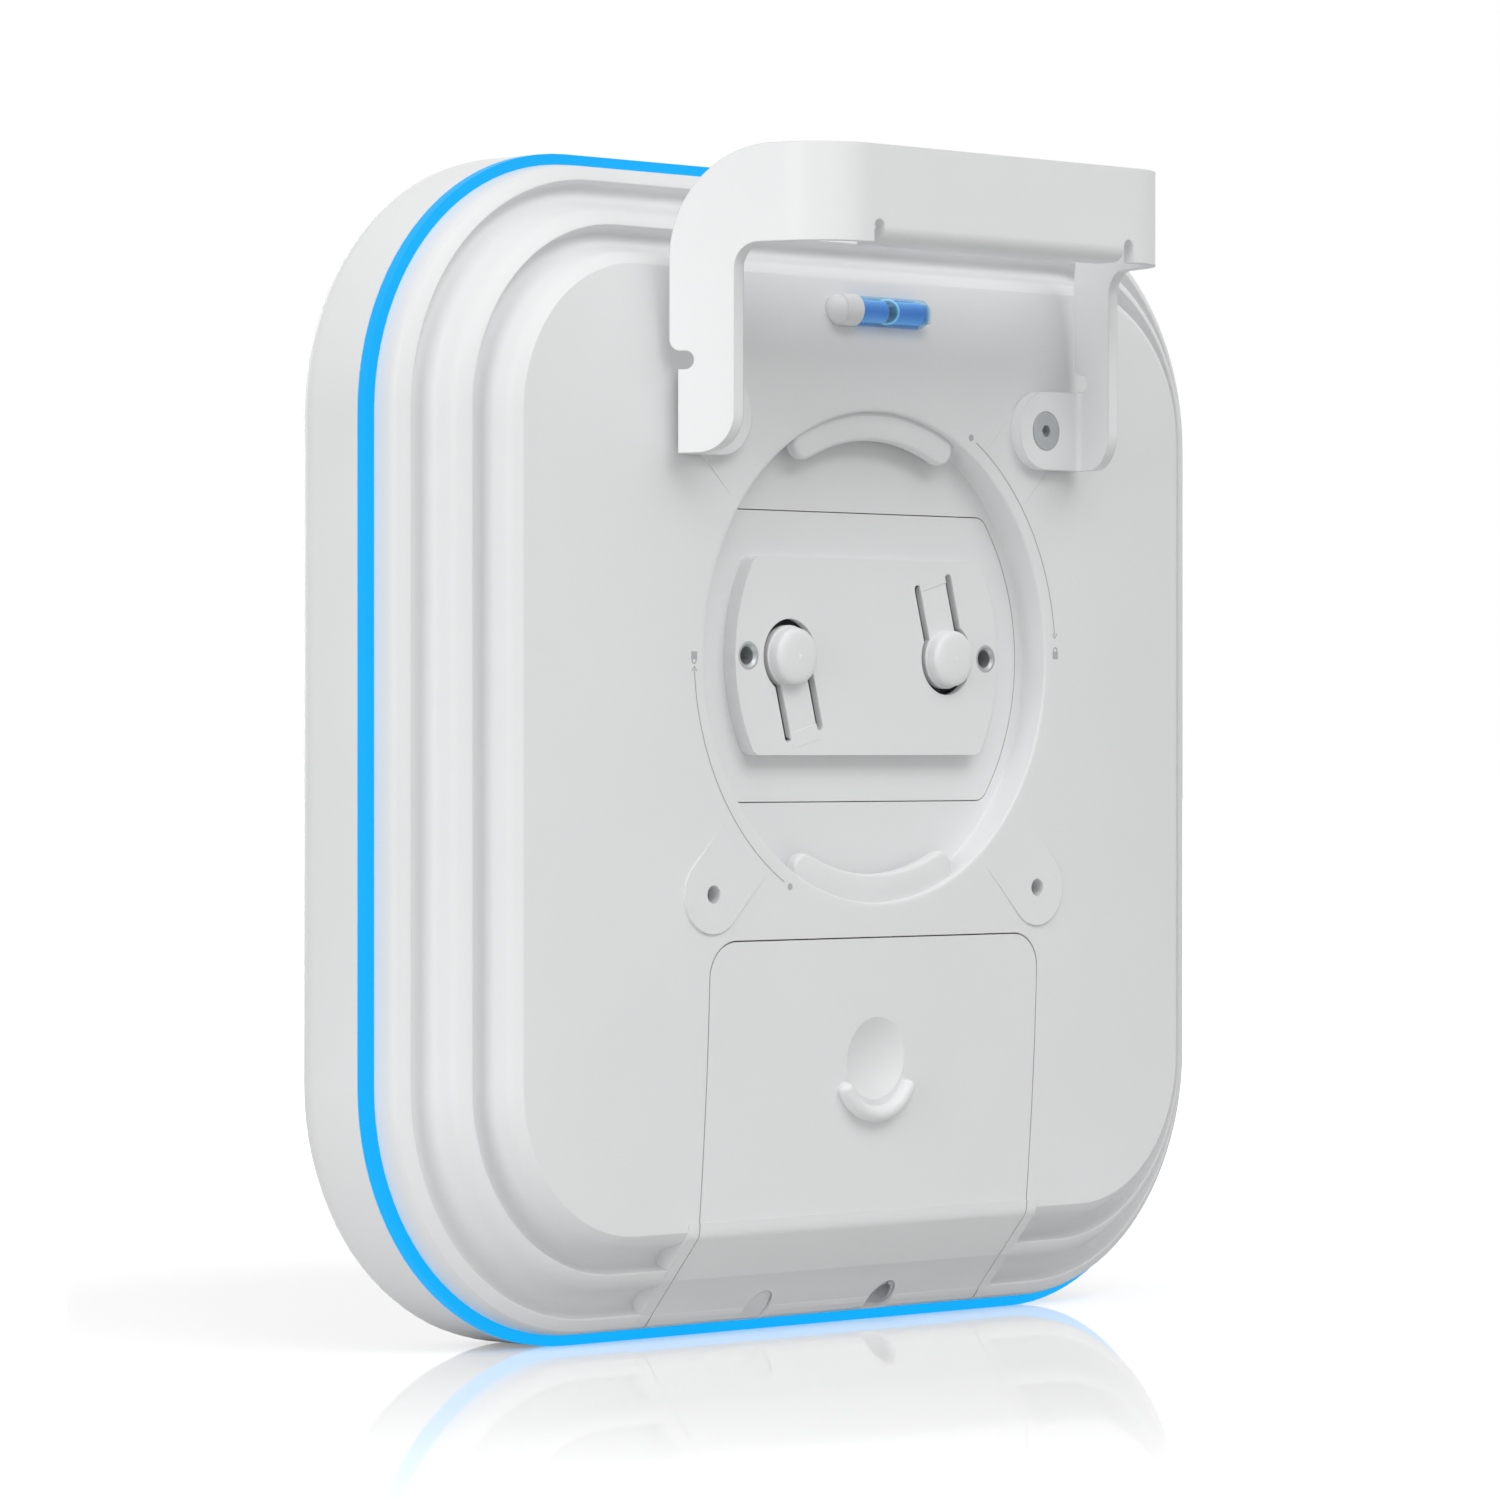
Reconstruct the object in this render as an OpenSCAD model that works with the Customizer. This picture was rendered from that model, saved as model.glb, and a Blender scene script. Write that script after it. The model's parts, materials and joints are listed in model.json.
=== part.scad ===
// Ceiling access point with a twist-lock back and a hanging bracket.
// X runs right seen from the back, Y from the back to the front, Z up.
// The origin is the centre of the twist-lock socket, in its rim plane.

/* [Body] */
// Half of the square body's width, out to the light ring
body_half = 130.5; // [110:0.5:160]
// Height of the twist-lock socket's centre above the body's centre
socket_up = 20.8; // [10:0.1:30]
// Depth of the body from the socket rim to the front face
body_depth = 52; // [44:0.5:64]
// Depth at which the light ring starts, behind the rim
ring_back = 26.5; // [24:0.5:28]
// Wall of the front radome
radome_wall = 2.6; // [2:0.1:4]

/* [Twist-lock socket] */
// Radius of the socket
socket_r = 55; // [48:0.5:58]
// Depth of the socket's floor
socket_floor = 7; // [6:0.5:8]
// Inner radius of the two bayonet lugs
lug_r = 48.6; // [45:0.1:52]
// Half of the spacing of the four bracket holes
hole_half = 52.4; // [50:0.1:56]
// Half of the spacing of the two threaded inserts
insert_half = 38.4; // [34:0.1:39]
// Depth of the raised plate's face
plate_y = 3.3; // [2.5:0.1:4.5]

/* [Latch buttons] */
// Distance of each button from the socket's centre
button_x = 25.4; // [22:0.1:27]
// Radius of a button's cap
button_r = 6.3; // [5:0.1:7]
// Lean of each spring arm from the vertical
arm_lean = 15; // [10:1:20]

/* [Service cover] */
// Half of the cover's width
cover_half = 52.8; // [48:0.1:54]
// Height of the cover's top edge, below the socket's centre
cover_top = 62.9; // [61:0.1:66]
// Distance of the two cable holes from the middle
cable_x = 20; // [14:0.5:28]
// Radius of a cable hole
cable_r = 4; // [3:0.1:4.5]

/* [Hanging bracket] */
// Thickness of the bracket's sheet
sheet = 2.8; // [2:0.1:3]
// Distance of the bracket's back face behind the socket rim
standoff = 38.6; // [30:0.1:60]
// Outer bend radius between an arm and the back plate
bend_r = 15.4; // [8:0.1:20]
// Half of the outer width of the arms at the body
arm_half = 67.2; // [66:0.1:70]
// Flare of each arm toward the body
flare = 17.65; // [10:0.05:20]

/* [Level vial] */
// Height of the vial above the socket's centre
vial_z = 77.5; // [76:0.1:79]
// Outer radius of the vial
vial_r = 3.3; // [3:0.1:3.6]

/* [Hidden] */
zc = -socket_up;
ck = 72;
board_y = 24;
bay_top = -cover_top - 5.2;
jx = 14.3;
cup_r = socket_r + 2.6;
arm_root = 17;
arm_t = 1.6;
cap_h = 2;
panel_r = 52.2;
panel_half = 32.3;
eps = 0.01;
white = [0.93, 0.94, 0.94];
grey = [0.62, 0.64, 0.65];
dark = [0.16, 0.17, 0.18];

$fn = 72;

// a profile of [half-width, depth] points swept round the body
module sweep(p) {
  q = [for (a = p) [a[0] - ck, a[1]]];
  translate([0, 0, zc]) for (k = [0:3]) rotate([0, 90 * k, 0]) {
    linear_extrude(2 * ck, center = true) polygon(p);
    translate([ck, 0, ck]) rotate([-90, 0, 0]) rotate([0, 0, -90])
      rotate_extrude(angle = 90) polygon(q);
  }
}

// the same profile along the bottom side only, from x = -w to x = w
module bottom(p, w) {
  translate([0, 0, zc]) rotate([0, 90, 0]) linear_extrude(2 * w, center = true) polygon(p);
}

// a cylinder along Y
module ycyl(x, z, r, y0, y1) {
  translate([x, y0, z]) rotate([-90, 0, 0]) cylinder(r = r, h = y1 - y0);
}

module ycone(x, z, ra, rb, y0, y1) {
  translate([x, y0, z]) rotate([-90, 0, 0]) cylinder(r1 = ra, r2 = rb, h = y1 - y0);
}

module zcyl(x, y, r, z0, z1) {
  translate([x, y, z0]) cylinder(r = r, h = z1 - z0);
}

module xcyl(y, z, r, x0, x1) {
  translate([x0, y, z]) rotate([0, 90, 0]) cylinder(r = r, h = x1 - x0);
}

module box(x0, x1, y0, y1, z0, z1) {
  translate([x0, y0, z0]) cube([x1 - x0, y1 - y0, z1 - z0]);
}

// outside of the die-cast back: shoulder, two grooves, rim
back_out = [[72, 0.8], [80, 0.95], [88, 1.5], [95, 2.25], [100, 2.95], [104.2, 3.75],
  [105.6, 4.15], [107.2, 5.4], [108.1, 7.2], [108.6, 12.8], [109.5, 13.8], [112.4, 13.8],
  [113.2, 13], [113.8, 11], [114.3, 10.7], [116.6, 12.5], [117.7, 14], [118.4, 20.4],
  [119.3, 21.4], [122.5, 21.4], [123.4, 20.6], [124.2, 19.2], [124.7, 19.1], [126.5, 20.5],
  [127.4, 21.7], [128.1, ring_back]];
back_in = [[115.9, ring_back], [115.6, 25], [115.6, 16.6], [106.3, 16.2], [105.9, 8.6],
  [104.4, 6.6], [100, 5.5], [95, 4.8], [88, 4], [80, 3.5], [72, 3.3]];
// the sloping face at the bottom
slope_out = [[104.2, 3.75], [106.5, 4.2], [125.8, 20.7], [127.4, 21.8], [128.1, ring_back]];

module lug(a) {
  rotate([0, a, 0]) translate([0, 1.6, 0]) rotate([-90, 0, 0]) linear_extrude(3.2) {
    intersection() {
      difference() {
        circle(socket_r + 0.6);
        circle(lug_r);
      }
      polygon([[0, 0], [-27, -58], [27, -58]]);
    }
    for (i = [-1, 1]) rotate(i * 25) translate([0, -lug_r - 3.3]) circle(3.3);
  }
}

// unit vector at angle a
function dir(a) = [cos(a), sin(a)];

// a disc cut to |z| < h, with its corners rounded to about radius f
module slab2(r, h, f) {
  c = [sqrt(pow(r - f, 2) - pow(h - f, 2)), h - f];
  // two short chords and a line that runs out past the disc
  k = [c + f * 1.011 * dir(81.5), c + f * 1.012 * dir(64), c + f * dir(55) - 20 * dir(145)];
  intersection() {
    circle(r);
    polygon([for (q = [[1, 1], [1, -1], [-1, -1], [-1, 1]]) for (i = [0:2])
      let (v = k[q[0] * q[1] > 0 ? i : 2 - i]) [q[0] * v[0], q[1] * v[1]]]);
  }
}

module slab(r, h, f, y0, y1) {
  translate([0, y0, 0]) rotate([-90, 0, 0]) linear_extrude(y1 - y0) slab2(r, h, f);
}

module rear_housing() {
  color(white) difference() {
    union() {
      sweep(concat(back_out, back_in));
      box(-ck, ck, 0.8, 3.3, zc - ck, zc + ck);
      // rise from the back to the socket's rim plane
      ycone(0, 0, 60, 78, 0, 0.8 + eps);
      for (i = [-1, 1]) for (j = [-1, 1]) {
        ycyl(i * hole_half, j * hole_half, 9, 0, 3);
        ycyl(i * hole_half, j * hole_half, 5, 2, 14);
      }
      // sloping face at the bottom
      bottom(concat(slope_out, [[116, ring_back], [104.2, ring_back]]), 56.3);
      // board posts
      for (i = [-1, 1]) for (z = [48, -50]) ycyl(i * 84, z, 4, 3, board_y);
      for (i = [-1, 1]) ycyl(i * 34, 66, 4, 2, board_y);
      // four tall posts for the reflector plate
      for (i = [-1, 1]) for (z = [66, -106]) ycyl(i * 98, z, 3.6, 4, 31);
      // backing and end foot of the level vial's bed
      box(-16.4, 17.4, 3, 6.6, vial_z - 5, vial_z + 5);
      box(14.75, 16, -0.9, 3, vial_z - 2.2, vial_z + 2.2);
    }
    // hole for the socket's cup and room for its flange
    ycyl(0, 0, cup_r + 0.05, -1, 12);
    ycyl(0, 0, cup_r + 4.2, 3.31, 7);
    // threaded holes for the bracket
    for (i = [-1, 1]) for (j = [-1, 1]) ycyl(i * hole_half, j * hole_half, 2, -1, 12);
    // seat of the service cover and room for the connector tub
    cover_seat();
    box(-55.85, 55.85, 3.3, 30, zc - 126, bay_top + 3.15);
    box(-53.3, 53.3, -1, 30, zc - 126, -cover_top - 8);
    // board and reflector screw holes
    for (i = [-1, 1]) for (z = [48, -50]) ycyl(i * 84, z, 1.3, 12, 32);
    for (i = [-1, 1]) ycyl(i * 34, 66, 1.3, 12, 32);
    for (i = [-1, 1]) for (z = [66, -106]) ycyl(i * 98, z, 1.3, 20, 32);
    // vial bed
    xcyl(1.5, vial_z, vial_r + 0.05, -7.05, 14.6);
    xcyl(1.5, vial_z, 3.65, -12.2, -7);
    translate([-11.2, 1.5, vial_z]) sphere(r = 3.65);
    // gasket groove in the rim's front flange
    gasket_groove();
  }
}

// cup of the twist-lock socket, with a recess for the panel and a flange behind the back
module socket_cup() {
  color(white) difference() {
    union() {
      ycyl(0, 0, cup_r, 0, 9.6);
      ycyl(0, 0, cup_r + 4, 3.32, 5);
    }
    ycyl(0, 0, socket_r, -1, socket_floor);
    slab(panel_r + 0.2, panel_half + 0.2, 4.2, 6, 8.6);
    slab(panel_r - 3, panel_half - 3, 2, 6, 12);
    for (i = [-1, 1]) for (z = [-31, 31]) ycyl(i * 30, z, 0.9, 8, 11);
    for (i = [-1, 1]) for (z = [-38, 38]) ycyl(i * 40, z, 1.55, 7.9, 12);
  }
  color(white) {
    lug(0);
    lug(180);
  }
}

// open box behind the service cover, with a ledge for the cover's gasket
module connector_tub() {
  color(white) difference() {
    union() {
      box(-55.8, 55.8, 3.32, ring_back, zc - 105, bay_top + 3.1);
      intersection() {
        box(-55.8, 55.8, 4, ring_back, zc - 125.2, zc - 104);
        bottom([[104, 4], [105.2, 6.1], [125.2, 23.1], [125.2, 27], [104, 27]], 56);
      }
    }
    gasket_groove();
    cover_seat();
    box(-50.5, 50.5, -1, 24.7, -149, bay_top);
    // jack, reset and vent openings into the body
    box(jx - 8.2, jx + 8.2, 10.1, 24, bay_top - 1, bay_top + 4);
    zcyl(-8, 17, 2.1, bay_top - 1, bay_top + 4);
    ycyl(-32, -92, 2.5, 20, 28);
    // ground screw hole
    ycyl(32, -92, 1.5, 20, 26);
  }
}

// room for the cover and its rails
module cover_seat() {
  w = cover_half + 0.35;
  translate([0, -1, 0]) rotate([-90, 0, 0]) linear_extrude(5.2) intersection() {
    cover2(0.35);
    translate([-60, 0]) square([120, 106]);
  }
  box(-w, w, -1, 27, -160, zc - 125.2);
  bottom([[84, -2], [84, 4.2], [95, 4.9], [102.5, 6.4], [104.5, 7], [123.2, 22.9],
    [125.2, 24.7], [125.2, 27], [131, 27], [131, -2]], w);
  // rails: grooves in the bay's side walls
  for (i = [-1, 1]) box(i * 50.5 - 2.4, i * 50.5 + 2.4, 5, 7.4, -133, -cover_top - 12);
}

// outline of the cover seen from the back, grown by g
module cover2(g) {
  w = cover_half + g;
  t = cover_top - g;
  translate([-w, t + 8]) square([2 * w, 100]);
  translate([-w + 8, t]) square([2 * w - 16, 20]);
  for (i = [-1, 1]) translate([i * (w - 8), t + 8]) circle(8);
}

module service_cover() {
  w = cover_half;
  color(white) difference() {
    union() {
      difference() {
        intersection() {
          union() {
            sweep(concat(back_out, back_in));
            box(-ck, ck, 0.8, 3.3, zc - ck, zc);
            ycone(0, 0, 60, 78, 0, 0.8 + eps);
            bottom(concat(slope_out, [[127, 26.25], [104.2, 26.25]]), w);
          }
          translate([0, -1, 0]) rotate([-90, 0, 0]) linear_extrude(27.25) cover2(0);
        }
        // hollow the inside down to a skin
        bottom([[30, 3], [80, 3.05], [88, 3.6], [99.6, 5], [103.9, 5.6], [105.1, 5.9],
          [124.4, 22.4], [125.9, 24], [125.9, 30], [30, 30]], 60);
      }
      // side rails that run in the bay's walls
      for (i = [-1, 1]) {
        box(i * 48.5 - 1, i * 48.5 + 1, 2.6, 7.1, -127, -cover_top - 14);
        box(i * 50 - 2.3, i * 50 + 2.3, 5.4, 7, -127, -cover_top - 14);
      }
      // crescent grip under the thumb dimple
      grip();
      // collars round the two cable holes
      for (i = [-1, 1]) intersection() {
        zcyl(i * cable_x, 20, 5.3, -148.2, -132);
        bottom([[100, 0], [106.5, 4.6], [125.8, 21], [127.2, 22], [127.6, 26.2], [100, 26.2]],
          40);
        box(-40, 40, 8, 24.4, -149, -131);
      }
    }
    // thumb dimple
    translate([0, -23.3, -91]) sphere(r = 25.6, $fn = 120);
    for (i = [-1, 1]) zcyl(i * cable_x, 20, cable_r, -155, -120);
  }
}

module grip() {
  intersection() {
    difference() {
      ycyl(0, -91, 13.3, -0.9, 2);
      ycyl(0, -91, 9.6, -2, 3);
    }
    translate([0, -2, -91]) rotate([-90, 0, 0]) linear_extrude(5)
      polygon([[0, -2.6], [-16, 3.4], [-16, 20], [16, 20], [16, 3.4]]);
  }
  for (i = [-1, 1]) ycyl(i * 10.95, -94.6, 1.85, -0.9, 2);
}

module cover_gasket() {
  color(dark) difference() {
    intersection() {
      box(-52.8, 52.8, 3.35, 4.15, -102, -cover_top - 1);
      translate([0, 3, 0]) rotate([-90, 0, 0]) linear_extrude(2) cover2(-0.3);
    }
    box(-50.8, 50.8, 2, 5, -110, bay_top + 0.4);
  }
}

module front_radome() {
  r = 9;
  f = body_depth;
  w = radome_wall;
  h = body_half;
  arc = [for (a = [0:15:90]) [h - r + r * cos(a), f - r + r * sin(a)]];
  arci = [for (a = [90:-15:0]) [h - r + (r - w) * cos(a), f - r + (r - w) * sin(a)]];
  color(white) {
    sweep(concat([[h - w, 29.1], [h, 29.1]], arc, [[ck, f], [ck, f - w]], arci));
    box(-ck, ck, f - w, f, zc - ck, zc + ck);
    // flange inside the wall, and a skirt that rests on the rear housing's rim
    sweep([[h - w - 7.6, 29.1], [h - w + eps, 29.1], [h - w + eps, 31], [h - w - 7.6, 31]]);
    difference() {
      sweep([[113.2, 26.65], [114.9, 26.65], [114.9, 31], [122, 31], [122, 32.6], [113.2, 32.6]]);
      box(112, 116, 27.7, 28.6, -7, 3);
    }
    // ribs behind the front face
    for (i = [-1, 1]) box(i * 108 - 0.9, i * 108 + 0.9, 45, f - w + eps, zc - 90, zc + 90);
    for (i = [-1, 1]) box(-90, 90, 45, f - w + eps, zc + i * 108 - 0.9, zc + i * 108 + 0.9);
  }
}

module light_ring() {
  h = body_half;
  color([0.25, 0.7, 1]) sweep([[h, ring_back + 0.05], [h, 29.05],
    [120.6, 29.05], [120.6, ring_back + 0.05]]);
}

module led_strip() {
  color([0.9, 0.75, 0.3]) sweep([[115.2, 27.1], [115.6, 27.1], [115.6, 29.1], [115.2, 29.1]]);
}

module side_leds() {
  color([0.95, 0.95, 0.8]) translate([0, 0, zc]) for (k = [0:3]) rotate([0, 90 * k, 0])
    for (z = [-64:16:64]) box(115.6, 116.9, 27.2, 29, z - 1.4, z + 1.4);
}

module led_lead() {
  color([0.85, 0.6, 0.2]) {
    box(92, 115.2, 28, 28.3, -6, 2);
    box(92, 92.3, board_y + 1.6, 28.3, -6, 2);
  }
}

module gasket_groove() {
  sweep([[117.4, 27], [119.6, 27], [119.6, 25.2], [117.4, 25.2]]);
}

module housing_gasket() {
  color(dark) sweep([[117.5, 25.25], [119.5, 25.25], [119.5, 27.6], [117.5, 27.6]]);
}

// outline of the moving tongue of the left latch: arm and cap foot
module tongue2() {
  rotate(-arm_lean) translate([-4.2, 0]) square([8.4, arm_root]);
  circle(6.9);
}

module socket_panel() {
  color(white) difference() {
    union() {
      slab(panel_r, panel_half, 4, socket_floor, 8.5);
      slab(42.5, 22, 3, plate_y, 7.5);
      for (i = [-1, 1]) ycyl(i * insert_half, 0, 4.2, plate_y, 11.6);
    }
    difference() {
      slab(40.7, 20.2, 2, plate_y + 1.8, 9);
      for (i = [-1, 1]) ycyl(i * insert_half, 0, 4.2, plate_y, 12);
    }
    for (i = [-1, 1]) ycyl(i * insert_half, 0, 3.1, plate_y - 1, 10.4);
    // blind holes for the screws that come from inside the housing
    for (i = [-1, 1]) for (z = [-31, 31]) ycyl(i * 30, z, 0.85, 7.5, 8.6);
    for (a = [0, 180]) rotate([0, a, 0]) latch_hole();
  }
}

// the hole round a cap and the two slots beside its arm
module latch_hole() {
  translate([-button_x, plate_y - 1, 0]) rotate([-90, 0, 0]) linear_extrude(4) {
    circle(8.3);
    rotate(-arm_lean) {
      translate([-6.2, 0]) square([12.4, 17.4]);
      for (i = [-1, 1]) translate([i * 5.2, 17.4]) circle(1);
      translate([-4.5, 0]) square([9, arm_root + arm_t / 2 + 0.3]);
    }
  }
}

// cap, arm and foot of the left latch; the arm turns about the round at its lower end
module latch() {
  translate([-button_x, 0, 0]) {
    rotate([-90, 0, 0]) rotate_extrude()
      polygon(concat([for (a = [0:7.5:90]) cap_edge(a)], [[button_r, plate_y + 1.6], [0, plate_y + 1.6]]));
    translate([0, plate_y + 0.1, 0]) rotate([-90, 0, 0]) linear_extrude(arm_t) tongue2();
    translate([0, plate_y + 0.1 + arm_t / 2, 0]) rotate([0, -arm_lean, 0])
      translate([-4.2, 0, -arm_root]) rotate([0, 90, 0]) cylinder(r = arm_t / 2, h = 8.4);
  }
}

// the cap's crowned face and round shoulder
function cap_edge(a) = [button_r * pow(sin(a), 0.5), cap_h * (1 - pow(cos(a), 0.5))];

module latch_button_left() {
  color(white) latch();
}

module latch_button_right() {
  color(white) rotate([0, 180, 0]) latch();
}

module panel_screws() {
  color(grey) for (i = [-1, 1]) for (z = [-31, 31]) difference() {
    union() {
      ycyl(i * 30, z, 1.6, 9.62, 10.7);
      ycyl(i * 30, z, 0.8, 7.55, 9.7);
    }
    ycyl(i * 30, z, 0.7, 10.2, 11);
  }
}

module threaded_inserts() {
  color(grey) for (i = [-1, 1]) difference() {
    ycyl(i * insert_half, 0, 3.08, plate_y, 10.35);
    ycyl(i * insert_half, 0, 2, plate_y - 1, 10.41);
    ycone(i * insert_half, 0, 2.6, 2, plate_y - 0.01, plate_y + 0.6);
  }
}

module cable_gland() {
  color([0.5, 0.51, 0.53]) difference() {
    intersection() {
      union() {
        zcyl(cable_x, 20, cable_r - 0.05, -147.2, -131.9);
        zcyl(cable_x, 20, 5, -131.9, -130.4);
      }
      bottom([[100, 0], [107.5, 4.6], [125, 19.9], [126.8, 22], [127.4, 26.2], [100, 26.2]], 40);
      box(0, 40, 8, 24.35, -149, -120);
    }
    zcyl(cable_x, 20, 2.9, -150, -120);
    box(cable_x - 0.2, cable_x + 0.2, 10, 20, -150, -120);
  }
}

module blank_plug() {
  color(white) intersection() {
    union() {
      zcyl(-cable_x, 20, cable_r - 0.15, -149, -131.9);
      zcyl(-cable_x, 20, 5, -131.9, -130.4);
    }
    bottom([[100, 0], [106.5, 4.3], [125.8, 20.8], [127.3, 21.9], [127.9, 26], [100, 26]], 40);
    box(-40, 0, 8, 24.35, -149, -120);
  }
}

module ethernet_jack() {
  color(grey) difference() {
    box(jx - 8, jx + 8, 10.3, 23.95, -cover_top - 6.6, -cover_top + 13.4);
    box(jx - 5.9, jx + 5.9, 12.6, 19.6, -80, -cover_top + 7);
    box(jx - 3, jx + 3, 19, 21.6, -80, -cover_top + 7);
  }
}

module jack_contacts() {
  color([0.85, 0.65, 0.25]) for (i = [0:7])
    box(jx - 3.7 + i * 1.02 - 0.2, jx - 3.7 + i * 1.02 + 0.2, 12.6, 13.4, -72, -56);
}

module jack_seal() {
  color(dark) difference() {
    box(jx - 10.2, jx + 10.2, 9.6, 23.95, bay_top + 3.12, bay_top + 4.6);
    box(jx - 8.02, jx + 8.02, 10.28, 25, -80, -50);
  }
}

module reset_button() {
  color([0.75, 0.2, 0.15]) {
    zcyl(-8, 17, 1.8, bay_top - 1.2, bay_top + 5.7);
    zcyl(-8, 17, 2.8, bay_top + 3.4, bay_top + 4.2);
  }
}

module reset_switch() {
  color(dark) box(-11, -5, 14, 23.95, bay_top + 6.8, bay_top + 10.6);
}

module vent_membrane() {
  color([0.85, 0.85, 0.85]) ycyl(-32, -92, 4.4, 24.2, 24.7);
}

module ground_screw() {
  color([0.3, 0.6, 0.35]) difference() {
    union() {
      ycyl(32, -92, 3, 22.6, 24.7);
      ycyl(32, -92, 1.45, 24.6, 25.9);
    }
    box(31.6, 32.4, 22, 23.4, -94.6, -89.4);
  }
}

module main_board() {
  color([0.1, 0.35, 0.2]) difference() {
    box(-96, 96, board_y, board_y + 1.6, -60, 74);
    for (i = [-1, 1]) for (z = [48, -50]) ycyl(i * 84, z, 1.6, 20, 30);
    for (i = [-1, 1]) ycyl(i * 34, 66, 1.6, 20, 30);
    // notches at the top corners for the tall posts
    for (i = [-1, 1]) box(i * 98 - 8, i * 98 + 8, 20, 30, 60, 80);
  }
}

module can(x, z, w, h) {
  difference() {
    box(x - w / 2, x + w / 2, 20.5, board_y, z - h / 2, z + h / 2);
    box(x - w / 2 + 0.4, x + w / 2 - 0.4, 20.9, board_y + 1, z - h / 2 + 0.4, z + h / 2 - 0.4);
  }
}

module shield_cans() {
  color(grey) {
    can(-24, 14, 38, 34);
    can(24, 14, 38, 34);
    can(-24, -22, 38, 26);
    can(24, -22, 38, 26);
  }
}

module processor_chips() {
  color(dark) {
    for (i = [-1, 1]) box(i * 24 - 9, i * 24 + 9, 22, board_y, 5, 23);
    for (i = [-1, 1]) box(i * 24 - 7, i * 24 + 7, 22.4, board_y, -31, -17);
  }
}

module thermal_pads() {
  color([0.55, 0.6, 0.75]) for (i = [-1, 1]) {
    box(i * 24 - 16, i * 24 + 16, 19.5, 20.5, 0, 28);
    box(i * 24 - 16, i * 24 + 16, 19.5, 20.5, -33, -11);
  }
}

module heat_spreader() {
  color(grey) difference() {
    union() {
      box(-50, 50, 16.5, 19.5, -42, 42);
      for (i = [-4:4]) box(i * 11 - 1.1, i * 11 + 1.1, 11.8, 16.6, -27, 27);
      for (i = [-1, 1]) for (z = [-38, 38]) ycyl(i * 40, z, 4, 9.62, 16.6);
    }
    for (i = [-1, 1]) for (z = [-38, 38]) ycyl(i * 40, z, 1.6, 9, 21);
    for (i = [-1, 1]) box(i * 38.4 - 6, i * 38.4 + 6, 9, 12.6, -6, 6);
  }
}

module spreader_screws() {
  color(grey) for (i = [-1, 1]) for (z = [-38, 38]) difference() {
    union() {
      ycyl(i * 40, z, 2.8, 19.5, 21.3);
      ycyl(i * 40, z, 1.5, 8, 19.6);
    }
    ycyl(i * 40, z, 1, 20.2, 22);
  }
}

module line_transformers() {
  color(dark) for (x = [-4, 32]) box(x - 7, x + 7, 18, board_y, -56, -43.5);
}

module capacitors() {
  color([0.25, 0.28, 0.33]) for (x = [-77, -67.5, -58]) ycyl(x, -44, 4, 13, board_y);
}

module power_inductors() {
  color(dark) for (z = [-20, -4, 12]) difference() {
    box(-76, -64, 19, board_y, z - 6, z + 6);
    ycyl(-70, z, 2, 18, 19.6);
  }
}

module board_screws() {
  color(grey) {
    for (i = [-1, 1]) for (z = [48, -50]) screw_front(i * 84, z, board_y + 1.6);
    for (i = [-1, 1]) screw_front(i * 34, 66, board_y + 1.6);
    for (i = [-1, 1]) for (z = [66, -106]) screw_front(i * 98, z, 32);
  }
}

module screw_front(x, z, y) {
  difference() {
    union() {
      ycyl(x, z, 2.6, y, y + 1.8);
      ycyl(x, z, 1.25, y - 8, y + eps);
    }
    ycyl(x, z, 1, y + 0.8, y + 2);
  }
}

module reflector_plate() {
  color(grey) difference() {
    box(-103, 103, 31, 32, zc - 96, zc + 96);
    for (i = [-1, 1]) for (z = [66, -106]) ycyl(i * 98, z, 1.6, 30, 33);
    for (x = [-72, -24, 24, 72]) for (z = [zc - 66, zc + 66]) ycyl(x, z, 2.4, 30, 33);
    for (x = [-72, 72]) ycyl(x, zc, 2.4, 30, 33);
  }
}

module element(x, z) {
  box(x - 15, x + 15, 41, 41.5, z - 15, z + 15);
}

module antenna_elements() {
  color([0.85, 0.65, 0.3]) {
    for (x = [-72, -24, 24, 72]) for (z = [zc - 66, zc + 66]) element(x, z);
    for (x = [-72, 72]) element(x, zc);
  }
}

module antenna_posts() {
  color([0.2, 0.2, 0.22]) {
    for (x = [-72, -24, 24, 72]) for (z = [zc - 66, zc + 66]) for (i = [-1, 1])
      ycyl(x + i * 10, z + i * 10, 2.5, 32, 41);
    for (x = [-72, 72]) for (i = [-1, 1]) ycyl(x + i * 10, zc + i * 10, 2.5, 32, 41);
  }
}

module antenna_feeds() {
  color([0.8, 0.55, 0.25]) {
    for (x = [-72, -24, 24, 72]) {
      ycyl(x, zc + 66, 0.8, board_y + 1.6, 41);
      ycyl(x, zc - 66, 0.8, 28, 41);
      zcyl(x, 28, 0.8, zc - 66, -57);
      ycyl(x, -57.8, 0.8, board_y + 1.6, 28);
    }
    for (x = [-72, 72]) ycyl(x, zc, 0.8, board_y + 1.6, 41);
  }
}

module level_vial() {
  color([0.2, 0.5, 0.9]) difference() {
    xcyl(1.5, vial_z, vial_r, -7, 14.5);
    xcyl(1.5, vial_z, 2.6, -6, 13.6);
  }
}

module vial_fluid() {
  color([0.1, 0.35, 0.8]) difference() {
    xcyl(1.5, vial_z, 2.58, -5.98, 13.58);
    // channel that the bubble runs in
    xcyl(1.5, vial_z + 0.3, 2.3, -1.5, 8.7);
    for (x = [-1.5, 8.7]) translate([x, 1.5, vial_z + 0.3]) sphere(r = 2.3);
  }
}

module vial_bubble() {
  color([0.8, 0.93, 1]) translate([3.6, 1.5, vial_z + 0.3]) sphere(r = 2);
}

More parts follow.
